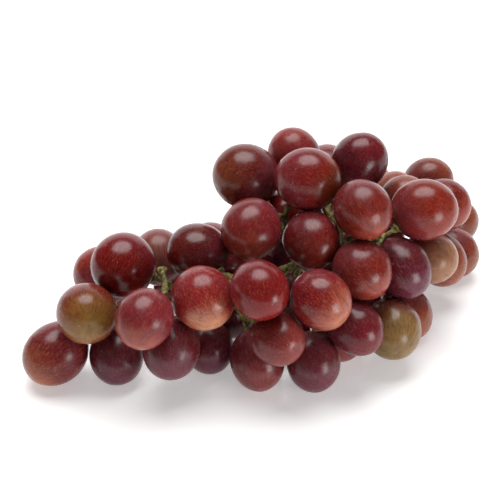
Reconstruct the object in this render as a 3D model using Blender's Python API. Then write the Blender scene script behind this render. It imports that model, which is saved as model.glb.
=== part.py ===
"""A bunch of red table grapes as picked, lying on its side.

The bunch lies along X: its thin tip is at -X and its cut stem end comes out at the back of
the broad +X end. Every berry is a solid of its own and the branched stem is one more.
Metres, +Z up. The bunch rests on z = 0, and the origin is below the middle of it.
"""

import math

import bmesh
import bpy
from mathutils import Matrix, Vector

MM = 0.001

# Berries, in millimetres
LEAST_LENGTH = 1.03          # a berry's length over its width
LENGTH_SPREAD = 0.07         # how much longer the longest is
SPREAD_STEP = 0.618          # from one berry to the next, as a share of that spread, wrapping at 1
SEGMENTS = 12
RINGS = 8
BERRY_GAP = 0.4              # clear space between two berries
STEM_GAP = 0.5               # clear space between a berry and a branch that it does not hang from
CAP_GAP = 0.35               # clear space between a berry and the end of its own pedicel
RESTING_WITHIN = 1.2         # a berry whose underside is this near the ground lies on it
FLAT_DEPTH = 0.35            # how much a resting berry is flattened
SETTLE_STEPS = 400
STEM_ROUNDS = 12

# Stem radii, in millimetres
CUT_END_RADIUS = 3.1
RACHIS_RADIUS = 2.6
TIP_RADIUS = 1.3
SIDE_RADIUS = 1.45
PEDICEL_RADIUS = 0.95
CAP_RADIUS = 1.9
CAP_LENGTH = 1.6
STALK_SIDES = 8
PEDICEL_SIDES = 6

# Materials, with linear colours
SKINS = {
    "R": ("skin_rose_red", (0.20, 0.02, 0.02)),
    "O": ("skin_orange_red", (0.30, 0.05, 0.03)),
    "B": ("skin_burgundy", (0.11, 0.01, 0.01)),
    "L": ("skin_olive", (0.24, 0.10, 0.03)),
    "M": ("skin_mauve", (0.12, 0.02, 0.03)),
}
STEM_GREEN = (0.20, 0.18, 0.06)
SKIN_ROUGHNESS = 0.3
STEM_ROUGHNESS = 0.6

# The main stalk from its cut end to the tip, in millimetres
RACHIS = (
    (78, 80, 28), (72, 66, 26), (64, 51, 25), (50, 33, 28), (37, 17, 30), (22, 4, 30),
    (6, -8, 30), (-9, -14, 28), (-25, -15, 25), (-41, -13, 22), (-53, -15, 20),
)

# Side branches: the point of the main stalk that each leaves from, its berries' skins, its own
# points, and its berries. A skin is a letter of SKINS. A berry is x, y, z and width in
# millimetres, then the point that it hangs from, counted along the branch, where 0 is on the
# main stalk.
BRANCHES = {
    "tip": (10, "OLMR", ((-59, -20, 19),), (
        (-75, -34, 12, 24, 1), (-61, -37, 32, 23, 1), (-52, -33, 11, 21, 1), (-60, 3, 24, 23, 1))),
    "upper_left": (8, "BRL", ((-33, -15, 32), (-33, -26, 34)), (
        (-49, -17, 41, 24, 1), (-38, -50, 38, 21, 2), (-37, 9, 28, 22, 1))),
    "lower_left": (9, "MR", ((-44, -3, 15),), (
        (-56, 20, 11, 22, 1), (-29, 19, 11, 22, 1))),
    "front_left": (8, "MMM", ((-25, -22, 21),), (
        (-29, -41, 20, 22, 1), (-17, -27, 11, 20, 1), (-9, -7, 14, 21, 1))),
    "mid_left": (7, "BORB", ((-10, -20, 38), (-5, -30, 42)), (
        (-20, -9, 42, 23, 1), (-18, -38, 39, 23, 2), (3, -46, 48, 21, 2), (-11, 5, 30, 21, 0))),
    "front_low": (7, "MR", ((-3, -24, 22), (3, -32, 25)), (
        (3, -36, 11, 21, 1), (10, -47, 28, 20, 2))),
    "under": (6, "M", ((8, -15, 23),), (
        (14, -20, 11, 19, 1),)),
    "front_right": (5, "OMBM", ((25, -12, 30), (26, -26, 30)), (
        (26, -42, 40, 22, 2), (25, -37, 11, 21, 2), (39, -35, 25, 20, 2), (35, -19, 10, 20, 1))),
    "right_front": (4, "RMO", ((46, 3, 38), (52, -5, 47)), (
        (41, -25, 44, 22, 2), (59, -10, 36, 23, 1), (67, 1, 54, 24, 2))),
    "crown": (5, "RRORM", ((15, 0, 44), (13, -3, 56)), (
        (0, -12, 54, 23, 2), (24, -13, 50, 22, 1), (22, 1, 68, 24, 2), (-2, 18, 62, 25, 1),
        (14, 10, 11, 22, 0))),
    "crown_right": (4, "RM", ((36, 5, 46), (33, -2, 57)), (
        (42, -15, 63, 22, 2), (44, 6, 11, 22, 0))),
    "crown_back": (4, "RBRBR", ((33, 13, 44), (30, 20, 54)), (
        (18, 33, 64, 22, 2), (44, 23, 66, 23, 2), (33, 47, 50, 22, 2), (14, 20, 43, 21, 1),
        (40, 28, 44, 21, 2))),
    "low_right": (3, "LOLB", ((56, 14, 24), (56, -2, 22)), (
        (54, -22, 18, 23, 2), (62, -6, 11, 21, 1), (73, 6, 31, 21, 1), (62, 26, 11, 21, 1))),
    "back_up": (3, "RR", ((56, 28, 35),), (
        (62, 42, 40, 21, 1), (63, 22, 48, 21, 1))),
    "right": (2, "ROO", ((76, 38, 28),), (
        (82, 33, 40, 22, 1), (80, 25, 20, 22, 1), (90, 45, 13, 23, 1))),
    "shoulder": (1, "OR", ((80, 65, 22),), (
        (93, 67, 14, 24, 1), (79, 58, 39, 22, 1))),
    "back_low": (3, "RLOB", ((48, 46, 23),), (
        (37, 50, 11, 22, 1), (57, 58, 11, 22, 1), (54, 62, 32, 22, 1), (33, 57, 31, 21, 1))),
    "back_mid": (4, "MRO", ((28, 27, 26), (22, 31, 24)), (
        (18, 42, 11, 22, 2), (12, 36, 34, 21, 2), (33, 28, 14, 21, 1))),
    "back_left": (6, "RM", ((2, 8, 25), (-4, 18, 22)), (
        (-17, 33, 17, 22, 2), (3, 29, 11, 21, 2))),
}


def branch_points(branch):
    start, _, points, _ = BRANCHES[branch]
    return [Vector(RACHIS[start])] + [Vector(point) for point in points]


def plan_berries():
    """Every berry as BRANCHES places it, with its skin, half sizes and hanging point."""
    berries = []
    for branch, (_, skins, _, rows) in BRANCHES.items():
        points = branch_points(branch)
        for number, (skin, row) in enumerate(zip(skins, rows), start=1):
            x, y, z, width, hangs_from = row
            spread = (len(berries) * SPREAD_STEP) % 1.0
            berries.append({
                "name": f"berry_{branch}_{number}",
                "skin": skin,
                "centre": Vector((x, y, z)),
                "half_width": width / 2,
                "half_length": width / 2 * (LEAST_LENGTH + LENGTH_SPREAD * spread),
                "hang": points[hangs_from],
            })
    return berries


def axis_of(berry):
    """The way the berry points: away from the point that it hangs from."""
    return (berry["centre"] - berry["hang"]).normalized()


def reach(berry, direction):
    """How far the berry extends from its centre along a unit direction."""
    along = axis_of(berry).dot(direction)
    across = 1 - along * along
    return math.sqrt((along * berry["half_length"]) ** 2 + across * berry["half_width"] ** 2)


def pedicel_end(berry):
    """Where the pedicel stops, just short of the berry's skin."""
    axis = axis_of(berry)
    return berry["centre"] - axis * (berry["half_length"] + CAP_GAP)


def nearest_on_segment(point, start, end):
    along = end - start
    share = (point - start).dot(along) / along.length_squared
    return start + along * min(max(share, 0), 1)


def woody_segments():
    """The main stalk and side branches as (start, end, radius)."""
    stalk = [Vector(point) for point in RACHIS]
    segments = [(a, b, RACHIS_RADIUS) for a, b in zip(stalk, stalk[1:])]
    for branch in BRANCHES:
        points = branch_points(branch)
        segments += [(a, b, SIDE_RADIUS) for a, b in zip(points, points[1:])]
    return segments


def part_berries(berries):
    """Moves each pair of berries that are too close straight apart."""
    for i, one in enumerate(berries):
        for other in berries[i + 1:]:
            between = other["centre"] - one["centre"]
            if between.length > one["half_length"] + other["half_length"] + BERRY_GAP:
                continue
            way = between.normalized()
            overlap = reach(one, way) + reach(other, way) + BERRY_GAP - between.length
            if overlap > 0:
                one["centre"] -= way * overlap / 2
                other["centre"] += way * overlap / 2


def clear_stem(berries, segments):
    """Moves berries off the branches, and off the pedicels of other berries."""
    pedicels = [(berry["hang"], pedicel_end(berry), PEDICEL_RADIUS, berry) for berry in berries]
    branches = [(start, end, radius, None) for start, end, radius in segments]
    for berry in berries:
        for start, end, radius, owner in branches + pedicels:
            if owner is berry:
                continue
            nearest = nearest_on_segment(berry["centre"], start, end)
            away = berry["centre"] - nearest
            if away.length > berry["half_length"] + radius + STEM_GAP:
                continue
            way = away.normalized()
            overlap = reach(berry, way) + radius + STEM_GAP - away.length
            if overlap > 0:
                berry["centre"] += way * overlap


def keep_above_ground(berries):
    down = Vector((0, 0, -1))
    for berry in berries:
        under = berry["centre"].z - reach(berry, down)
        if under < 0:
            berry["centre"].z -= under


def settle(berries):
    segments = woody_segments()
    for _ in range(STEM_ROUNDS):
        clear_stem(berries, segments)
        for _ in range(SETTLE_STEPS // STEM_ROUNDS):
            part_berries(berries)
            keep_above_ground(berries)


def material(name, colour, roughness):
    made = bpy.data.materials.new(name)
    made.use_nodes = True
    shader = made.node_tree.nodes["Principled BSDF"]
    shader.inputs["Base Color"].default_value = (*colour, 1)
    shader.inputs["Roughness"].default_value = roughness
    shader.inputs["Metallic"].default_value = 0
    return made


def add_object(name, form, look, bunch):
    mesh = bpy.data.meshes.new(name)
    form.to_mesh(mesh)
    form.free()
    mesh.materials.append(look)
    mesh.shade_smooth()
    made = bpy.data.objects.new(name, mesh)
    bpy.context.collection.objects.link(made)
    made.parent = bunch
    return made


def flatten_on_ground(form):
    """Lowers a resting berry a little and cuts it off at z = 0, as a soft fruit flattens."""
    lowest = min(vertex.co.z for vertex in form.verts)
    bmesh.ops.translate(form, verts=form.verts, vec=(0, 0, -lowest - FLAT_DEPTH * MM))
    everything = form.verts[:] + form.edges[:] + form.faces[:]
    cut = bmesh.ops.bisect_plane(
        form, geom=everything, dist=1e-6, plane_co=(0, 0, 0), plane_no=(0, 0, -1), clear_outer=True)
    edges = [piece for piece in cut["geom_cut"] if isinstance(piece, bmesh.types.BMEdge)]
    bmesh.ops.contextual_create(form, geom=edges)


def add_berry(berry, look, bunch):
    axis = axis_of(berry)
    size = Vector((berry["half_width"], berry["half_width"], berry["half_length"])) * MM
    turned = axis.to_track_quat("Z", "Y").to_matrix().to_4x4()
    place = Matrix.Translation(berry["centre"] * MM) @ turned @ Matrix.Diagonal(size).to_4x4()
    form = bmesh.new()
    bmesh.ops.create_uvsphere(form, u_segments=SEGMENTS, v_segments=RINGS, radius=1, matrix=place)
    if berry["centre"].z - reach(berry, Vector((0, 0, -1))) < RESTING_WITHIN:
        flatten_on_ground(form)
    add_object(berry["name"], form, look, bunch)


def stalk_radius(number):
    """The main stalk thins evenly to the tip, and swells a little where it was cut."""
    if number == 0:
        return CUT_END_RADIUS
    return RACHIS_RADIUS + (TIP_RADIUS - RACHIS_RADIUS) * number / (len(RACHIS) - 1)


def stem_runs(berries):
    """The stem's runs, each as points, a radius at each point, and how many sides it has."""
    stalk = [Vector(point) for point in RACHIS]
    runs = [(stalk, [stalk_radius(number) for number in range(len(stalk))], STALK_SIDES)]
    for branch in BRANCHES:
        points = branch_points(branch)
        runs.append((points, [SIDE_RADIUS] * len(points), STALK_SIDES))
    for berry in berries:
        end = pedicel_end(berry)
        neck = end - axis_of(berry) * CAP_LENGTH
        radii = [PEDICEL_RADIUS, PEDICEL_RADIUS, CAP_RADIUS]
        runs.append(([berry["hang"], neck, end], radii, PEDICEL_SIDES))
    return runs


def add_tube(form, points, radii, sides):
    """A closed tube through the points, each ring square to the way the tube runs there."""
    rings = []
    side = None
    for number, (point, radius) in enumerate(zip(points, radii)):
        before = points[max(number - 1, 0)]
        after = points[min(number + 1, len(points) - 1)]
        along = (after - before).normalized()
        side = along.orthogonal() if side is None else side - along * side.dot(along)
        side.normalize()
        up = along.cross(side)
        angles = [2 * math.pi * step / sides for step in range(sides)]
        spokes = [side * math.cos(angle) + up * math.sin(angle) for angle in angles]
        rings.append([form.verts.new((point + spoke * radius) * MM) for spoke in spokes])
    for low, high in zip(rings, rings[1:]):
        for step in range(sides):
            following = (step + 1) % sides
            form.faces.new((low[step], low[following], high[following], high[step]))
    form.faces.new(reversed(rings[0]))
    form.faces.new(rings[-1])


def add_stem(berries, look, bunch):
    """The main stalk, with every side branch and pedicel joined to it as one solid."""
    stalk, *others = stem_runs(berries)
    form = bmesh.new()
    add_tube(form, *stalk)
    stem = add_object("stem", form, look, bunch)
    form = bmesh.new()
    for run in others:
        add_tube(form, *run)
    branches = add_object("stem_branches", form, look, bunch)
    branches.hide_render = True
    branches.display_type = "WIRE"
    union = stem.modifiers.new("branches", "BOOLEAN")
    union.operation = "UNION"
    union.solver = "EXACT"
    union.use_self = True
    union.object = branches


def middle_of(objects):
    """The middle of the box round the objects, on the ground."""
    corners = [vertex.co for made in objects for vertex in made.data.vertices]
    middle = [(min(c[axis] for c in corners) + max(c[axis] for c in corners)) / 2 for axis in (0, 1)]
    return Vector((*middle, 0))


def main():
    for old in list(bpy.data.objects):
        bpy.data.objects.remove(old)
    bunch = bpy.data.objects.new("bunch", None)
    bpy.context.collection.objects.link(bunch)
    looks = {letter: material(*skin, SKIN_ROUGHNESS) for letter, skin in SKINS.items()}
    berries = plan_berries()
    settle(berries)
    for berry in berries:
        add_berry(berry, looks[berry["skin"]], bunch)
    add_stem(berries, material("stem_green", STEM_GREEN, STEM_ROUGHNESS), bunch)
    bunch.location = -middle_of(bunch.children)


main()
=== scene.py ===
"""Looks for the bunch of red table grapes: smooth berries with streaked, bloomed skin on a knobbly
green stem, on a pale floor in soft studio light. Metres, +Z up, in the frame of the CAD model."""

import math

import bmesh
import bpy
import numpy as np
from mathutils import Matrix, Vector, noise


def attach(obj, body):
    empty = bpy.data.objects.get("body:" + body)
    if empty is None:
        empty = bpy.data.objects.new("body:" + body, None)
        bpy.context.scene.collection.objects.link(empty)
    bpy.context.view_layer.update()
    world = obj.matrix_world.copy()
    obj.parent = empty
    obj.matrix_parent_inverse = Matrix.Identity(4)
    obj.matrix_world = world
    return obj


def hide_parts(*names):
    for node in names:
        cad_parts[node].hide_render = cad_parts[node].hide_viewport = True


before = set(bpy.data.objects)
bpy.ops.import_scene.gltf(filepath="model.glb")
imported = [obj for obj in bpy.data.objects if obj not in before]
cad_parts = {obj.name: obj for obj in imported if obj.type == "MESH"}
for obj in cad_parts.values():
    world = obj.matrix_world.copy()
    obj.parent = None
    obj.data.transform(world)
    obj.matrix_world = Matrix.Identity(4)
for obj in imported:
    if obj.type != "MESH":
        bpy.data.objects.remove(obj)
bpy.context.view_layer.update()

MM = 0.001
BODY = "root"

# Berry shape, in millimetres
RINGS = 44
SEGMENTS = 64
SKIN_GROWTH = 0.26           # how far the smooth skin stands outside the faceted solid
DIMPLE_DEPTH = 0.5           # at the stem end
DIMPLE_WIDTH = 2.6
STYLE_DEPTH = 0.22           # at the free end, round the dried style
STYLE_WIDTH = 1.3
STRETCH = 0.06               # how much longer a berry is drawn out towards its free end
NARROWING = 0.035            # and how much narrower
UNEVEN = 0.016               # share of the radius that the skin rises and falls in broad swellings
BROAD_SWELL = 1.1            # about how many of them there are to a radius
FINE_SWELL = 3
FINE_SHARE = 0.35            # height of the fine swellings against the broad ones
BERRY_DRIFT = (7.3, 3.1, 1.7)  # how far each berry's swellings are from the last one's
PRESS_SOFTNESS = 0.3         # how gently a berry flattens against what it touches
TOUCHING_WITHIN = 1.6
MOST_BEND = math.radians(85)  # between a berry's axis and its free end
ON_FLOOR_BELOW = 0.02        # corners of the CAD berry lower than this belong to its flat

# Stem shape, in millimetres
VOXEL = 0.4
SMOOTHING = 0.5
SMOOTHING_ROUNDS = 5
FREE_FROM = 0.6              # a stretch this clear of every berry starts to wander
FREE_WITHIN = 5              # and after this much more it wanders fully
WANDER = 0.7                 # how far a free stretch of stem strays from its straight CAD line
WANDER_LENGTH = 16
WANDER_SEED = 7              # not 0, which would draw a new line each run
WARTS = 0.34
WART_LENGTH = 1.3
KNOBS = 0.22
KNOB_LENGTH = 3.0
CAP_RINGS = ((2.7, 0.8), (1.7, 1.0), (1.0, 1.55), (0.5, 2.05), (0.1, 2.1), (-0.25, 1.6))
CAP_SIDES = 14
CUT_SHOWS = 0.7              # depth of the woody face at the cut end
CUT_WITHIN = 6
CUT_RING = 7                 # corners this near the furthest one belong to the cut end

# Camera, floor and studio, in metres. The lens and the view's target are in millimetres.
VIEW_DISTANCE = 0.420
VIEW_DOWN = math.radians(30)
VIEW_LENS = 75.6
VIEW_TARGET = (-9.4, -10.2, 38)
FLOOR_SIZE = 8
FLOOR_PARTS = 8
FLOOR_DROP = 0.0002
FLOOR_WHITE = (0.86, 0.86, 0.86)
FLOOR_ROUGHNESS = 0.7
FLOOR_GLOW = (0.35, 1.1)     # the floor is a lit table, brighter towards its edges
FLOOR_GLOW_REACH = (0.35, 1.3)
STUDIO_LIGHT = 0.15          # how bright the studio's walls are, where the camera sees white
# Lights: name, shape, place (across and along from the view's target, and height above the floor),
# size, and brightness.
LIGHTS = (
    ("softbox", "ELLIPSE", (-0.05, 0.28, 1.6), (1.55, 1.2), 6.3),
    ("backdrop", "RECTANGLE", (0, 1.3, 0.5), (3.0, 1.0), 1.3),
    ("card", "RECTANGLE", (0.20, -0.20, 0.03), (0.10, 0.15), 8),
)


def srgb(red, green, blue):
    """A colour given as 0 to 255 in sRGB, as the linear colour that shaders take."""
    shares = [value / 255 for value in (red, green, blue)]
    return tuple(s / 12.92 if s <= 0.04045 else ((s + 0.055) / 1.055) ** 2.4 for s in shares)


# Skins: the record's slot, the colour of the body, the colour of the free end (both 0 to 255 in
# sRGB), how far the free end's colour reaches (0 to 1), and how much bloom there is (0 to 1).
# The free end's colour is partly the skin's own paler free end and partly painted glow of light shining
# through the flesh.
SKINS = {
    "rose": ("skin_rose_red", (122, 18, 28), (150, 50, 32), 0.45, 0.50),
    "rose_dull": ("skin_rose_red", (114, 24, 28), (140, 56, 54), 0.45, 0.40),
    "rose_hazy": ("skin_rose_red", (138, 26, 34), (150, 50, 44), 0.30, 0.80),
    "brown_hazy": ("skin_rose_red", (120, 40, 34), (142, 66, 46), 0.40, 0.80),
    "pink": ("skin_rose_red", (130, 30, 42), (168, 84, 72), 0.46, 0.50),
    "crimson": ("skin_rose_red", (126, 10, 18), (130, 22, 22), 0.35, 0.22),
    "garnet": ("skin_rose_red", (108, 14, 18), (130, 32, 18), 0.45, 0.45),
    "brown_red": ("skin_rose_red", (118, 24, 16), (172, 76, 60), 0.30, 0.45),
    "umber": ("skin_rose_red", (110, 26, 18), (126, 58, 28), 0.55, 0.36),
    "pale_hazy": ("skin_rose_red", (136, 58, 48), (156, 84, 66), 0.40, 1.00),
    "peach": ("skin_orange_red", (150, 28, 34), (222, 162, 128), 0.36, 0.24),
    "orange": ("skin_orange_red", (126, 14, 24), (188, 112, 88), 0.42, 0.26),
    "maroon_gold": ("skin_orange_red", (116, 24, 28), (182, 102, 68), 0.40, 0.36),
    "red_tan": ("skin_orange_red", (128, 16, 18), (134, 60, 24), 0.42, 0.30),
    "flame": ("skin_orange_red", (136, 34, 16), (150, 64, 54), 0.30, 0.28),
    "russet": ("skin_orange_red", (124, 42, 28), (150, 80, 50), 0.50, 0.60),
    "burgundy": ("skin_burgundy", (92, 6, 10), (106, 12, 14), 0.30, 0.22),
    "wine": ("skin_burgundy", (124, 8, 8), (100, 6, 8), 0.30, 0.12),
    "plum": ("skin_burgundy", (90, 6, 30), (112, 6, 28), 0.45, 0.40),
    "olive": ("skin_olive", (128, 40, 26), (152, 122, 58), 0.44, 0.28),
    "olive_dull": ("skin_olive", (112, 54, 36), (134, 112, 66), 0.68, 0.34),
    "tan": ("skin_olive", (138, 74, 66), (164, 122, 90), 0.62, 0.60),
    "mauve": ("skin_mauve", (98, 20, 32), (112, 48, 72), 0.55, 0.55),
    "mauve_red": ("skin_mauve", (108, 26, 38), (142, 64, 68), 0.50, 0.50),
    "dusk": ("skin_mauve", (86, 8, 26), (104, 40, 68), 0.50, 0.48),
}
RIPENESS = (0.85, 0.78, 0.68)  # deepens and reddens every skin
STREAK_DEPTH = 0.42          # brightness of a dark streak against the skin round it
PALE_FLECK = (206, 112, 82)
SHOULDER = (122, 52, 68)
LENTICEL = (214, 168, 140)
BLOOM = (156, 112, 114)
SCAR = (74, 40, 26)
DRIFT_STEP = 0.37            # how far each berry's pattern is from the last one's

# Noises that the skin's pattern is cut from: scale, detail and roughness
STREAKS = (9, 5, 0.65)
FINE_STREAKS = (33, 3, 0.6)
PATCHES = (1.1, 3, 0.55)
CLOUDS = (2.6, 4, 0.6)
SPECKLE = (17, 3, 0.65)
VEIN_WANDER = 0.2            # how much the streaks change from one end of a berry to the other
LENTICEL_SCALE = 7
LENTICEL_SIZE = 0.13
LENTICEL_CHANCE = 0.5

# How strongly each layer of the skin's pattern shows
VEINS_SHOW = 0.4
CLOUDS_SHOW = 0.4
PALE_STREAKS_SHOW = 0.34
DARK_STREAKS_SHOW = 0.5
FLECKS_SHOW = 0.25
SHOULDER_SHOWS = 0.45
LENTICELS_SHOW = 0.4
BLOOM_SHOWS = 0.22
SCAR_SHOWS = 0.7

# Skin as a surface
SKIN_GLOSS = 0.16            # roughness of skin rubbed clean of bloom
SKIN_BUMP = 0.35
SKIN_BUMP_HEIGHT = 0.0001
SKIN_IOR = 1.4
FLESH_SHOWS = 0.15           # light that soaks into the flesh, and how far each colour goes
FLESH_REACH = (1.0, 0.2, 0.1)
FLESH_DEPTH = 0.003

# Stem colours, 0 to 255 in sRGB
STEM_GREEN = (134, 126, 62)
STEM_DEEP_GREEN = (92, 92, 38)
# Painted highlight on the raised warts, and painted shade in the hollows between them
STEM_WART_HIGHLIGHT = (184, 172, 104)
STEM_HOLLOW_SHADE = (62, 48, 24)
STEM_BROWN = (88, 62, 32)
STEM_LAYERS_SHOW = 0.6
WOOD_PALE = (190, 162, 110)
WOOD_DARK = (116, 84, 46)

# Each berry: its skin, and where its free end points as the camera sees it: right, up and near.
BERRIES = {
    "tip_1": ("maroon_gold", (-0.6, -0.6, 0.3)), "tip_2": ("olive", (0.2, -0.3, 0.9)),
    "tip_3": ("dusk", (0, -0.9, 0.3)), "tip_4": ("rose", (-0.6, 0.1, 0.4)),
    "upper_left_1": ("wine", (0.1, -0.9, 0.3)), "upper_left_2": ("pink", (-0.35, -0.85, 0.3)),
    "upper_left_3": ("tan", (0.1, -0.9, 0.3)),
    "lower_left_1": ("mauve", None), "lower_left_2": ("rose", None),
    "front_left_1": ("mauve", (0, -0.8, 0.4)), "front_left_2": ("dusk", (0.1, -0.7, 0.5)),
    "front_left_3": ("mauve", (0.1, -0.7, 0.5)),
    "mid_left_1": ("burgundy", (0.4, -0.5, 0.5)), "mid_left_2": ("peach", (0.7, -0.6, 0.38)),
    "mid_left_3": ("crimson", (0.3, -0.7, 0.6)), "mid_left_4": ("wine", None),
    "front_low_1": ("mauve_red", (0.1, -0.9, 0.4)), "front_low_2": ("rose_dull", (0.55, -0.28, 0.79)),
    "under_1": ("dusk", None),
    "front_right_1": ("orange", (0.6, -0.6, 0.45)), "front_right_2": ("mauve", (0.1, -0.9, 0.4)),
    "front_right_3": ("plum", (0.4, -0.6, 0.6)), "front_right_4": ("mauve_red", (0.4, -0.7, 0.5)),
    "right_front_1": ("brown_red", (0.6, -0.7, 0.3)), "right_front_2": ("dusk", (0.4, -0.8, 0.4)),
    "right_front_3": ("flame", (0.8, -0.3, 0.4)),
    "crown_1": ("rose", (-0.2, -0.8, 0.5)), "crown_2": ("garnet", (0.2, -0.8, 0.5)),
    "crown_3": ("red_tan", (0.85, -0.3, 0.3)), "crown_4": ("umber", (-0.5, -0.7, 0.4)),
    "crown_5": ("mauve", None),
    "crown_right_1": ("brown_red", (0.3, -0.8, 0.4)), "crown_right_2": ("mauve", None),
    "crown_back_1": ("rose_hazy", (-0.2, 0.6, 0.6)), "crown_back_2": ("plum", (0.3, 0.5, 0.7)),
    "crown_back_3": ("rose", None), "crown_back_4": ("wine", None),
    "crown_back_5": ("rose", None),
    "low_right_1": ("olive_dull", (0.1, -0.6, 0.7)), "low_right_2": ("russet", (0.5, -0.7, 0.4)),
    "low_right_3": ("tan", (0.4, -0.6, 0.6)), "low_right_4": ("wine", None),
    "back_up_1": ("pale_hazy", (0.1, 0.6, 0.5)), "back_up_2": ("pale_hazy", (0.3, 0.6, 0.5)),
    "right_1": ("brown_red", (0.7, -0.4, 0.4)), "right_2": ("russet", (0.6, -0.6, 0.4)),
    "right_3": ("russet", (0.7, -0.5, 0.4)),
    "shoulder_1": ("russet", (0.8, 0.1, 0.4)), "shoulder_2": ("brown_hazy", (0.6, 0.4, 0.5)),
    "back_low_1": ("crimson", None), "back_low_2": ("olive", None), "back_low_3": ("orange", None),
    "back_low_4": ("burgundy", None),
    "back_mid_1": ("mauve", None), "back_mid_2": ("rose", None), "back_mid_3": ("russet", None),
    "back_left_1": ("pink", None), "back_left_2": ("dusk", None),
}


# ---------------------------------------------------------------- reading the CAD solids

def corners_of(node):
    """A CAD node's corners, in millimetres."""
    return np.array([vertex.co for vertex in node.data.vertices]) / MM


def fit_berry(node, stem_corners):
    """Centre, axis, half width and half length of the ellipsoid that a CAD berry's corners lie on."""
    corners = corners_of(node)
    corners = corners[corners[:, 2] > ON_FLOOR_BELOW]
    start = corners.mean(axis=0)
    x, y, z = (corners - start).T
    terms = np.column_stack((x * x, y * y, z * z, 2 * x * y, 2 * x * z, 2 * y * z, 2 * x, 2 * y, 2 * z))
    xx, yy, zz, xy, xz, yz, *linear = np.linalg.lstsq(terms, np.ones(len(x)), rcond=None)[0]
    form = np.array(((xx, xy, xz), (xy, yy, yz), (xz, yz, zz)))
    offset = -np.linalg.solve(form, linear)
    values, vectors = np.linalg.eigh(form / (1 + offset @ form @ offset))
    halves = 1 / np.sqrt(values)
    centre = start + offset
    axis = vectors[:, 0]
    ends = (centre + axis * halves[0], centre - axis * halves[0])
    to_stem = [np.linalg.norm(stem_corners - end, axis=1).min() for end in ends]
    if to_stem[0] < to_stem[1]:
        axis = -axis
    return {"centre": centre, "axis": axis, "length": halves[0], "width": halves[1:].mean()}


def reach(berry, way):
    """How far the CAD berry extends from its centre along a unit direction."""
    along = (berry["axis"] @ way) ** 2
    return math.sqrt(along * berry["length"] ** 2 + (1 - along) * berry["width"] ** 2)


def planes_touched(berry, others):
    """The planes that a berry presses against, each as (unit normal, distance from its centre)."""
    planes = []
    for other in others:
        if other is berry:
            continue
        apart = other["centre"] - berry["centre"]
        distance = np.linalg.norm(apart)
        way = apart / distance
        gap = distance - reach(berry, way) - reach(other, way)
        if gap < TOUCHING_WITHIN:
            planes.append((way, reach(berry, way) + gap / 2))
    planes.append((np.array((0.0, 0.0, -1.0)), berry["centre"][2]))
    return planes


# ---------------------------------------------------------------- berries

def smoothstep(value):
    value = np.clip(value, 0, 1)
    return value * value * (3 - 2 * value)


def sphere_ways():
    """Unit directions from the pole at +Z, ring by ring, to the pole at -Z."""
    ways = [(0, 0, 1)]
    for ring in range(1, RINGS):
        angle = math.pi * ring / RINGS
        for step in range(SEGMENTS):
            turn = 2 * math.pi * step / SEGMENTS
            spoke = math.cos(turn), math.sin(turn)
            ways.append((math.sin(angle) * spoke[0], math.sin(angle) * spoke[1], math.cos(angle)))
    ways.append((0, 0, -1))
    return np.array(ways)


def sphere_faces():
    """Faces that join the rings of sphere_ways, facing out."""
    faces = []
    last = 1 + (RINGS - 1) * SEGMENTS
    for step in range(SEGMENTS):
        following = (step + 1) % SEGMENTS
        faces.append((0, 1 + step, 1 + following))
        for ring in range(RINGS - 2):
            low = 1 + ring * SEGMENTS
            high = low + SEGMENTS
            faces.append((low + step, high + step, high + following, low + following))
        low = last - SEGMENTS
        faces.append((last, low + following, low + step))
    return faces


def bend_to(ways, free_end):
    """Where each direction lies on a straight berry. The stem end stays at -Z, and the direction
    free_end becomes +Z, with the veins between them bent smoothly."""
    off = math.acos(np.clip(free_end[2], -1, 1))
    hinge = np.cross(free_end, (0, 0, 1))
    if np.linalg.norm(hinge) < 1e-6:
        return ways
    hinge /= np.linalg.norm(hinge)
    share = smoothstep((1 + ways[:, 2]) / (1 + free_end[2]))
    angle = (off * share)[:, None]
    level = (ways @ hinge)[:, None] * hinge
    return level + (ways - level) * np.cos(angle) + np.cross(hinge, ways) * np.sin(angle)


def uneven(ways, drift):
    """How far out the skin stands along each direction, as a share of the radius."""
    swell = []
    for way in ways:
        broad = noise.noise(Vector(way) * BROAD_SWELL + drift)
        fine = noise.noise(Vector(way) * FINE_SWELL + drift)
        swell.append(1 + UNEVEN * broad + FINE_SHARE * UNEVEN * fine)
    return np.array(swell)


def berry_points(berry, ways, straight, free_end, seed):
    """The skin in millimetres from the berry's centre, with the stem end at -Z."""
    width = berry["width"] + SKIN_GROWTH
    length = berry["length"] + SKIN_GROWTH
    swell = uneven(ways, Vector([step * seed for step in BERRY_DRIFT]))
    points = ways * np.array((width, width, length)) * swell[:, None]
    from_stem_end = np.hypot(points[:, 0], points[:, 1])
    sunk = DIMPLE_DEPTH * np.exp(-(from_stem_end / DIMPLE_WIDTH) ** 2) * (points[:, 2] < 0)
    from_style = np.hypot(straight[:, 0], straight[:, 1]) * width
    sunk += STYLE_DEPTH * np.exp(-(from_style / STYLE_WIDTH) ** 2) * (straight[:, 2] > 0)
    points -= ways * sunk[:, None]
    ahead = (points @ free_end)[:, None] * free_end
    return ahead * (1 + STRETCH) + (points - ahead) * (1 - NARROWING)


def press(points, planes):
    """Flattens what stands past each plane, with a soft edge round the flat."""
    for way, distance in planes:
        past = points @ way - distance
        soft = np.clip(past + PRESS_SOFTNESS, 0, 2 * PRESS_SOFTNESS)
        kept = past - soft ** 2 / (4 * PRESS_SOFTNESS)
        kept = np.where(past > PRESS_SOFTNESS, 0, kept)
        points = points + np.outer(kept - past, way)
    return points


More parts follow.
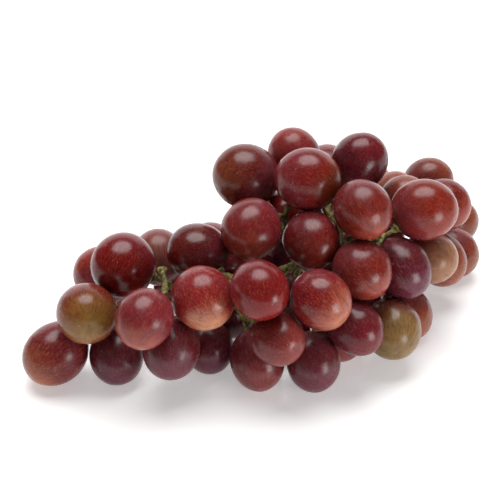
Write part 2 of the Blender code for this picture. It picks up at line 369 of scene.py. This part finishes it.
def free_end_of(seen, turned):
    """Unit direction of the free end in the berry's own frame, where the stem end is at -Z. It is
    given as the camera sees it, as right, up and near, and it is kept from bending back too far."""
    if seen is None:
        return np.array((0.0, 0.0, 1.0))
    right, up, near = seen
    way = Vector((right,
                  up * math.sin(VIEW_DOWN) - near * math.cos(VIEW_DOWN),
                  up * math.cos(VIEW_DOWN) + near * math.sin(VIEW_DOWN))).normalized()
    way = np.array(way) @ turned
    off = math.acos(np.clip(way[2], -1, 1))
    if off > MOST_BEND:
        side = way - (0, 0, way[2])
        side /= np.linalg.norm(side)
        way = side * math.sin(MOST_BEND) + np.array((0, 0, math.cos(MOST_BEND)))
    return way


def make_berry(name, berry, others, seed, sphere, look, seen):
    """One grape on its CAD berry. The attribute skin holds where each point lies on a straight
    berry of radius 1 with its free end at +Z."""
    ways, faces = sphere
    turned = np.array(Vector(berry["axis"]).to_track_quat("Z", "Y").to_matrix())
    free_end = free_end_of(seen, turned)
    straight = bend_to(ways, free_end)
    points = berry_points(berry, ways, straight, free_end, seed) @ turned.T
    points = press(points, planes_touched(berry, others))
    mesh = bpy.data.meshes.new(name)
    mesh.from_pydata((points * MM).tolist(), [], faces)
    skin = mesh.attributes.new("skin", "FLOAT_VECTOR", "POINT")
    skin.data.foreach_set("vector", straight.astype(np.float32).ravel())
    mesh.materials.append(look)
    mesh.shade_smooth()
    made = bpy.data.objects.new(name, mesh)
    bpy.context.collection.objects.link(made)
    made.location = Vector(berry["centre"] * MM)
    return made


# ---------------------------------------------------------------- stem

def add_cap(form, berry):
    """The swollen end of a pedicel, a turned shape that seats in the berry's dimple."""
    turned = Vector(berry["axis"]).to_track_quat("Z", "Y").to_matrix().to_4x4()
    place = Matrix.Translation(Vector(berry["centre"])) @ turned
    rings = []
    for before, radius in CAP_RINGS:
        height = -(berry["length"] + before)
        ring = []
        for step in range(CAP_SIDES):
            turn = 2 * math.pi * step / CAP_SIDES
            point = place @ Vector((radius * math.cos(turn), radius * math.sin(turn), height))
            ring.append(form.verts.new(point * MM))
        rings.append(ring)
    for low, high in zip(rings, rings[1:]):
        for step in range(CAP_SIDES):
            following = (step + 1) % CAP_SIDES
            form.faces.new((low[step], low[following], high[following], high[step]))
    form.faces.new(reversed(rings[0]))
    form.faces.new(rings[-1])


def cut_end(stem_corners):
    """Middle and outward direction of the cut stem end, which is the stem's part furthest to +Y."""
    furthest = stem_corners[stem_corners[:, 1].argmax()]
    ring = stem_corners[np.linalg.norm(stem_corners - furthest, axis=1) < CUT_RING]
    middle = ring.mean(axis=0)
    _, vectors = np.linalg.eigh(np.cov((ring - middle).T))
    way = vectors[:, 0]
    return middle, way if way[1] > 0 else -way


def free_share(points, berries):
    """For each point, 0 where it is close to a berry, rising to 1 where it is well clear of them."""
    nearest = np.full(len(points), 1e9)
    for berry in berries:
        away = np.linalg.norm(points - berry["centre"], axis=1) - berry["length"]
        nearest = np.minimum(nearest, away)
    return smoothstep((nearest - FREE_FROM) / FREE_WITHIN)


def rounded(form):
    """The form's outside as one smooth mesh. The form is freed."""
    rough = bpy.data.meshes.new("stem_rough")
    form.to_mesh(rough)
    form.free()
    helper = bpy.data.objects.new("stem_rough", rough)
    bpy.context.collection.objects.link(helper)
    remesh = helper.modifiers.new("remesh", "REMESH")
    remesh.mode = "VOXEL"
    remesh.voxel_size = VOXEL * MM
    smooth = helper.modifiers.new("smooth", "SMOOTH")
    smooth.factor = SMOOTHING
    smooth.iterations = SMOOTHING_ROUNDS
    graph = bpy.context.evaluated_depsgraph_get()
    mesh = bpy.data.meshes.new_from_object(helper.evaluated_get(graph))
    bpy.data.objects.remove(helper)
    bpy.data.meshes.remove(rough)
    return mesh


def make_stem(node, berries, look):
    """The CAD stem with a swollen end on every pedicel, rounded and roughened."""
    form = bmesh.new()
    form.from_mesh(node.data)
    for berry in berries:
        add_cap(form, berry)
    mesh = rounded(form)
    mesh.name = "grape_stem"
    roughen_stem(mesh, berries, corners_of(node))
    mesh.materials.clear()
    mesh.materials.append(look)
    mesh.shade_smooth()
    made = bpy.data.objects.new("grape_stem", mesh)
    bpy.context.collection.objects.link(made)
    return made


def roughen_stem(mesh, berries, stem_corners):
    """Gives the stem its wandering line, knobs and warts, and marks the warts and the cut end."""
    points = np.array([vertex.co for vertex in mesh.vertices]) / MM
    normals = np.array([vertex.normal for vertex in mesh.vertices])
    free = free_share(points, berries)
    noise.seed_set(WANDER_SEED)
    moved = np.empty_like(points)
    warts = np.empty(len(points))
    for number, (point, normal) in enumerate(zip(points, normals)):
        wander = np.array(noise.noise_vector(Vector(point / WANDER_LENGTH))) * WANDER * free[number]
        warts[number] = noise.noise(Vector(point / WART_LENGTH))
        swell = warts[number] * WARTS + noise.noise(Vector(point / KNOB_LENGTH)) * KNOBS
        moved[number] = point + wander + normal * swell
    mesh.vertices.foreach_set("co", (moved * MM).astype(np.float32).ravel())
    middle, way = cut_end(stem_corners)
    depth = (middle - points) @ way
    across = np.linalg.norm(points - middle, axis=1)
    cut = np.clip(1 - depth / CUT_SHOWS, 0, 1) * (across < CUT_WITHIN)
    for name, values in (("wart", warts), ("cut", cut)):
        mark = mesh.attributes.new(name, "FLOAT", "POINT")
        mark.data.foreach_set("value", values.astype(np.float32))


# ---------------------------------------------------------------- materials

def fill(tree, socket, value):
    """Links a socket to another or sets its value. A colour is given without its alpha."""
    if isinstance(value, bpy.types.NodeSocket):
        tree.links.new(value, socket)
    elif isinstance(value, tuple) and len(socket.default_value) == 4:
        socket.default_value = (*value, 1)
    else:
        socket.default_value = value


def add_node(tree, kind, inputs=None, **settings):
    """A node with its settings made and its inputs set or linked, by name or number."""
    node = tree.nodes.new(kind)
    for name, value in settings.items():
        setattr(node, name, value)
    for name, value in (inputs or {}).items():
        fill(tree, node.inputs[name], value)
    return node


def math_node(tree, operation, *values):
    return add_node(tree, "ShaderNodeMath", dict(enumerate(values)), operation=operation).outputs[0]


def times(tree, one, other):
    return math_node(tree, "MULTIPLY", one, other)


def scaled(tree, value, factor, added):
    """The value times a factor, plus what is added."""
    return math_node(tree, "MULTIPLY_ADD", value, factor, added)


def between(tree, value, low, high):
    """Rises smoothly from 0 at low to 1 at high."""
    inputs = {"Value": value, "From Min": low, "From Max": high}
    return add_node(tree, "ShaderNodeMapRange", inputs, interpolation_type="SMOOTHSTEP").outputs[0]


def mix(tree, share, first, second):
    """The first colour where the share is 0 and the second where it is 1."""
    inputs = {0: share, 6: first, 7: second}
    return add_node(tree, "ShaderNodeMix", inputs, data_type="RGBA").outputs[2]


def layer(tree, shape, strength, over, colour):
    """A colour laid over another where the shape is 1, as strongly as given."""
    return mix(tree, times(tree, shape, strength), over, colour)


def noise_value(tree, vector, scale, detail=2, roughness=0.5):
    inputs = {"Vector": vector, "Scale": scale, "Detail": detail, "Roughness": roughness}
    return add_node(tree, "ShaderNodeTexNoise", inputs).outputs[0]


def skin_marks(tree, drift):
    """Where a point lies on its berry, and the noises that every layer of the skin is cut from."""
    place = add_node(tree, "ShaderNodeAttribute", attribute_name="skin").outputs["Vector"]
    x, y, along = add_node(tree, "ShaderNodeSeparateXYZ", {0: place}).outputs
    across = math_node(tree, "SQRT", math_node(tree, "ADD", times(tree, x, x), times(tree, y, y)))
    shift = add_node(tree, "ShaderNodeCombineXYZ", {0: drift, 1: drift, 2: drift}).outputs[0]
    own = add_node(tree, "ShaderNodeVectorMath", {0: place, 1: shift}, operation="ADD").outputs[0]
    # Veins run from the stem end to the free end, so they change with the turn round the berry.
    guarded = math_node(tree, "MAXIMUM", across, 0.01)
    round_x = math_node(tree, "DIVIDE", x, guarded)
    round_y = math_node(tree, "DIVIDE", y, guarded)
    inputs = {0: round_x, 1: round_y, 2: scaled(tree, along, VEIN_WANDER, drift)}
    vein = add_node(tree, "ShaderNodeCombineXYZ", inputs).outputs[0]
    return {
        "along": along,
        "across": across,
        "own": own,
        "off_pole": between(tree, across, 0.12, 0.5),
        "streaks": noise_value(tree, vein, *STREAKS),
        "fine_streaks": noise_value(tree, vein, *FINE_STREAKS),
        "patches": noise_value(tree, own, *PATCHES),
        "clouds": noise_value(tree, own, *CLOUDS),
        "speckle": noise_value(tree, own, *SPECKLE),
    }


def ripening_and_glow(tree, given, marks):
    """The body's colour, which turns to the free end's in an uneven edge broken up by the streaks. The
    free end's colour is partly the skin's own and partly painted glow of light through the flesh.
    """
    edge = scaled(tree, marks["patches"], 1.1, marks["along"])
    edge = scaled(tree, marks["streaks"], 0.5, edge)
    edge = scaled(tree, marks["speckle"], 0.3, edge)
    low = scaled(tree, given["Tip reach"], -1.9, 1.95)
    high = math_node(tree, "ADD", low, 0.9)
    return mix(tree, between(tree, edge, low, high), given["Body"], given["Tip"])


def streaked(tree, given, marks, colour):
    """Adds veins, dark clouds, fine pale and dark streaks, and pale flecks."""
    veins = times(tree, between(tree, marks["streaks"], 0.44, 0.68), marks["off_pole"])
    colour = layer(tree, veins, VEINS_SHOW, colour, given["Dark"])
    deep = between(tree, marks["clouds"], 0.48, 0.72)
    colour = layer(tree, deep, CLOUDS_SHOW, colour, given["Dark"])
    pale = times(tree, between(tree, marks["fine_streaks"], 0.52, 0.66), marks["off_pole"])
    colour = layer(tree, pale, PALE_STREAKS_SHOW, colour, given["Pale"])
    dark = times(tree, between(tree, marks["fine_streaks"], 0.48, 0.34), marks["off_pole"])
    colour = layer(tree, dark, DARK_STREAKS_SHOW, colour, given["Dark"])
    flecks = between(tree, marks["speckle"], 0.55, 0.68)
    return layer(tree, flecks, FLECKS_SHOW, colour, given["Pale"])


def shouldered(tree, marks, colour):
    """Turns the shoulders, round the stem end, purple in patches."""
    near_stem = between(tree, marks["along"], 0.35, -0.75)
    patchy = times(tree, near_stem, between(tree, marks["patches"], 0.3, 0.55))
    shoulder = times(tree, patchy, between(tree, marks["speckle"], 0.2, 0.6))
    return layer(tree, shoulder, SHOULDER_SHOWS, colour, srgb(*SHOULDER))


def dotted(tree, marks, colour):
    """Adds lenticels, tiny pale dots of different sizes."""
    inputs = {"Vector": marks["own"], "Scale": LENTICEL_SCALE, "Randomness": 1.0}
    cells = add_node(tree, "ShaderNodeTexVoronoi", inputs)
    chance = add_node(tree, "ShaderNodeSeparateColor", {0: cells.outputs["Color"]}).outputs
    size = times(tree, chance[0], LENTICEL_SIZE)
    dots = math_node(tree, "GREATER_THAN", size, cells.outputs["Distance"])
    dots = times(tree, dots, math_node(tree, "GREATER_THAN", chance[1], LENTICEL_CHANCE))
    return layer(tree, dots, LENTICELS_SHOW, colour, srgb(*LENTICEL))


def bloom_film(tree, given, marks):
    """How thick the bloom is: a waxy film, rubbed thin in patches and at the free end."""
    film = times(tree, math_node(tree, "ADD", marks["clouds"], marks["patches"]), 0.6)
    film = scaled(tree, between(tree, film, 0.42, 0.8), 0.75, 0.25)
    film = times(tree, film, scaled(tree, marks["along"], -0.3, 1.0))
    return times(tree, film, given["Bloom"])


def skin_pattern():
    """Node group for grape skin. It takes the colours and amounts of one berry, and gives its
    colour, roughness and height. It works on the place that each berry's attribute skin holds."""
    tree = bpy.data.node_groups.new("skin_pattern", "ShaderNodeTree")
    for name in ("Body", "Tip", "Dark", "Pale"):
        tree.interface.new_socket(name, in_out="INPUT", socket_type="NodeSocketColor")
    for name in ("Tip reach", "Bloom", "Drift"):
        tree.interface.new_socket(name, in_out="INPUT", socket_type="NodeSocketFloat")
    tree.interface.new_socket("Colour", in_out="OUTPUT", socket_type="NodeSocketColor")
    for name in ("Roughness", "Height"):
        tree.interface.new_socket(name, in_out="OUTPUT", socket_type="NodeSocketFloat")
    given = tree.nodes.new("NodeGroupInput").outputs
    marks = skin_marks(tree, given["Drift"])

    colour = ripening_and_glow(tree, given, marks)
    colour = streaked(tree, given, marks, colour)
    colour = shouldered(tree, marks, colour)
    colour = dotted(tree, marks, colour)
    film = bloom_film(tree, given, marks)
    broken = times(tree, film, between(tree, marks["speckle"], 0.25, 0.65))
    colour = layer(tree, broken, BLOOM_SHOWS, colour, srgb(*BLOOM))
    # The dried style is a small brown scar at the free end.
    at_tip = math_node(tree, "GREATER_THAN", marks["along"], 0.6)
    scar = times(tree, between(tree, marks["across"], 0.052, 0.03), at_tip)
    colour = layer(tree, scar, SCAR_SHOWS, colour, srgb(*SCAR))

    roughness = scaled(tree, film, 0.22, SKIN_GLOSS)
    roughness = scaled(tree, marks["clouds"], 0.08, roughness)
    roughness = scaled(tree, scar, 0.3, roughness)
    height = scaled(tree, marks["streaks"], 0.8, times(tree, marks["speckle"], 0.35))
    height = scaled(tree, marks["fine_streaks"], 0.25, height)
    add_node(tree, "NodeGroupOutput", {"Colour": colour, "Roughness": roughness, "Height": height})
    return tree


def ripened(colour):
    """A skin's colour from 0 to 255 in sRGB, deepened, as a linear colour."""
    return tuple(value * depth for value, depth in zip(srgb(*colour), RIPENESS))


def skin_material(name, skin, drift, pattern):
    _, body, tip, tip_reach, bloom = SKINS[skin]
    body, tip = ripened(body), ripened(tip)
    dark = tuple(value * STREAK_DEPTH for value in body)
    pale = tuple((one + two) / 2 for one, two in zip(tip, srgb(*PALE_FLECK)))
    made = bpy.data.materials.new(name)
    made.use_nodes = True
    tree = made.node_tree
    group = add_node(tree, "ShaderNodeGroup", node_tree=pattern)
    given = {"Body": body, "Tip": tip, "Dark": dark, "Pale": pale,
             "Tip reach": tip_reach, "Bloom": bloom, "Drift": drift}
    for socket, value in given.items():
        fill(tree, group.inputs[socket], value)
    inputs = {"Strength": SKIN_BUMP, "Distance": SKIN_BUMP_HEIGHT, "Height": group.outputs["Height"]}
    bump = add_node(tree, "ShaderNodeBump", inputs)
    shader = tree.nodes["Principled BSDF"]
    tree.links.new(group.outputs["Colour"], shader.inputs["Base Color"])
    tree.links.new(group.outputs["Roughness"], shader.inputs["Roughness"])
    tree.links.new(bump.outputs[0], shader.inputs["Normal"])
    shader.inputs["Subsurface Weight"].default_value = FLESH_SHOWS
    shader.inputs["Subsurface Radius"].default_value = FLESH_REACH
    shader.inputs["Subsurface Scale"].default_value = FLESH_DEPTH
    shader.inputs["IOR"].default_value = SKIN_IOR
    return made


def stem_material():
    """Mottled green, with a painted highlight on the raised warts and painted shade in the hollows
    between them, and wood at the cut end.
    """
    made = bpy.data.materials.new("stem_green")
    made.use_nodes = True
    tree = made.node_tree
    place = tree.nodes.new("ShaderNodeTexCoord").outputs["Object"]
    warts = add_node(tree, "ShaderNodeAttribute", attribute_name="wart").outputs["Fac"]
    cut = add_node(tree, "ShaderNodeAttribute", attribute_name="cut").outputs["Fac"]
    broad = noise_value(tree, place, 90, 3, 0.6)
    mottle = noise_value(tree, place, 900, 4, 0.65)
    colour = mix(tree, between(tree, broad, 0.4, 0.62), srgb(*STEM_GREEN), srgb(*STEM_DEEP_GREEN))
    # The raised warts get a painted highlight and the hollows painted shade, over the stem's own brown
    # mottle.
    for shape, over in (
            (between(tree, warts, 0.0, 0.35), STEM_WART_HIGHLIGHT),
            (between(tree, warts, 0.0, -0.35), STEM_HOLLOW_SHADE),
            (between(tree, mottle, 0.5, 0.68), STEM_BROWN)):
        colour = layer(tree, shape, STEM_LAYERS_SHOW, colour, srgb(*over))
    wood = mix(tree, between(tree, mottle, 0.4, 0.65), srgb(*WOOD_PALE), srgb(*WOOD_DARK))
    colour = mix(tree, between(tree, cut, 0.3, 0.8), colour, wood)
    bump = add_node(tree, "ShaderNodeBump", {"Strength": 0.6, "Distance": 0.0003, "Height": mottle})
    shader = tree.nodes["Principled BSDF"]
    tree.links.new(colour, shader.inputs["Base Color"])
    tree.links.new(scaled(tree, mottle, 0.3, 0.42), shader.inputs["Roughness"])
    tree.links.new(bump.outputs[0], shader.inputs["Normal"])
    shader.inputs["Subsurface Weight"].default_value = 0.1
    shader.inputs["Subsurface Radius"].default_value = (0.6, 0.8, 0.2)
    shader.inputs["Subsurface Scale"].default_value = 0.0015
    return made


# ---------------------------------------------------------------- stage

def floor_material():
    made = bpy.data.materials.new("floor_white")
    made.use_nodes = True
    tree = made.node_tree
    place = tree.nodes.new("ShaderNodeTexCoord").outputs["Object"]
    away = add_node(tree, "ShaderNodeVectorMath", {0: place}, operation="LENGTH").outputs["Value"]
    near, far = FLOOR_GLOW_REACH
    dim, bright = FLOOR_GLOW
    inputs = {"Value": away, "From Min": near, "From Max": far, "To Min": dim, "To Max": bright}
    glow = add_node(tree, "ShaderNodeMapRange", inputs, interpolation_type="SMOOTHSTEP").outputs[0]
    shader = tree.nodes["Principled BSDF"]
    shader.inputs["Base Color"].default_value = (*FLOOR_WHITE, 1)
    shader.inputs["Roughness"].default_value = FLOOR_ROUGHNESS
    shader.inputs["Emission Color"].default_value = (1, 1, 1, 1)
    tree.links.new(glow, shader.inputs["Emission Strength"])
    return made


def add_floor():
    form = bmesh.new()
    bmesh.ops.create_grid(form, x_segments=FLOOR_PARTS, y_segments=FLOOR_PARTS, size=FLOOR_SIZE / 2)
    mesh = bpy.data.meshes.new("floor")
    form.to_mesh(mesh)
    form.free()
    mesh.materials.append(floor_material())
    floor = bpy.data.objects.new("floor", mesh)
    floor.location.z = -FLOOR_DROP
    bpy.context.collection.objects.link(floor)


def add_area_light(name, shape, place, aim, size, brightness):
    """A rectangular or elliptical light that the camera does not see, turned towards the point aim.
    Its brightness is its radiance, where 1 is a white that just fills the picture's range."""
    data = bpy.data.lights.new(name, "AREA")
    data.shape = shape
    data.size, data.size_y = size
    area = size[0] * size[1] * (math.pi / 4 if shape == "ELLIPSE" else 1)
    data.energy = brightness * math.pi * area
    light = bpy.data.objects.new(name, data)
    light.location = place
    light.rotation_euler = (Vector(place) - Vector(aim)).to_track_quat("Z", "Y").to_euler()
    light.visible_camera = False
    bpy.context.collection.objects.link(light)


def add_light():
    aim = Vector(VIEW_TARGET) * MM
    for name, shape, (across, along, height), size, brightness in LIGHTS:
        place = (aim.x + across, aim.y + along, height)
        add_area_light(name, shape, place, aim, size, brightness)
    add_world()
    bpy.context.scene.view_settings.view_transform = "Standard"


def add_world():
    """White walls, which light the bunch much less brightly than the camera sees them."""
    world = bpy.data.worlds.new("studio")
    world.use_nodes = True
    tree = world.node_tree
    background = tree.nodes["Background"]
    background.inputs["Color"].default_value = (1, 1, 1, 1)
    seen = tree.nodes.new("ShaderNodeLightPath").outputs["Is Camera Ray"]
    strength = scaled(tree, seen, 1 - STUDIO_LIGHT, STUDIO_LIGHT)
    tree.links.new(strength, background.inputs["Strength"])
    bpy.context.scene.world = world


def add_camera():
    data = bpy.data.cameras.new("camera")
    data.lens = VIEW_LENS
    data.clip_start = 0.01
    camera = bpy.data.objects.new("camera", data)
    target = Vector(VIEW_TARGET) * MM
    back = Vector((0, -math.cos(VIEW_DOWN), math.sin(VIEW_DOWN)))
    camera.location = target + back * VIEW_DISTANCE
    camera.rotation_euler = (math.pi / 2 - VIEW_DOWN, 0, 0)
    bpy.context.collection.objects.link(camera)
    bpy.context.scene.camera = camera


# ---------------------------------------------------------------- the bunch

def build_bunch():
    stem_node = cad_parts["stem"]
    stem_corners = corners_of(stem_node)
    berries = {
        name: fit_berry(node, stem_corners)
        for name, node in sorted(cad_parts.items()) if name != "stem"
    }
    pattern = skin_pattern()
    sphere = sphere_ways(), sphere_faces()
    solids = list(berries.values())
    for number, (name, berry) in enumerate(berries.items()):
        place = name.removeprefix("berry_")
        skin, seen = BERRIES[place]
        look = skin_material(f"skin_{place}", skin, DRIFT_STEP * number, pattern)
        piece = make_berry(f"grape_{place}", berry, solids, number + 1, sphere, look, seen)
        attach(piece, BODY)
        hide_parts(name)
    stem = make_stem(stem_node, solids, stem_material())
    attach(stem, BODY)
    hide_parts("stem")


add_camera()
build_bunch()
add_floor()
add_light()
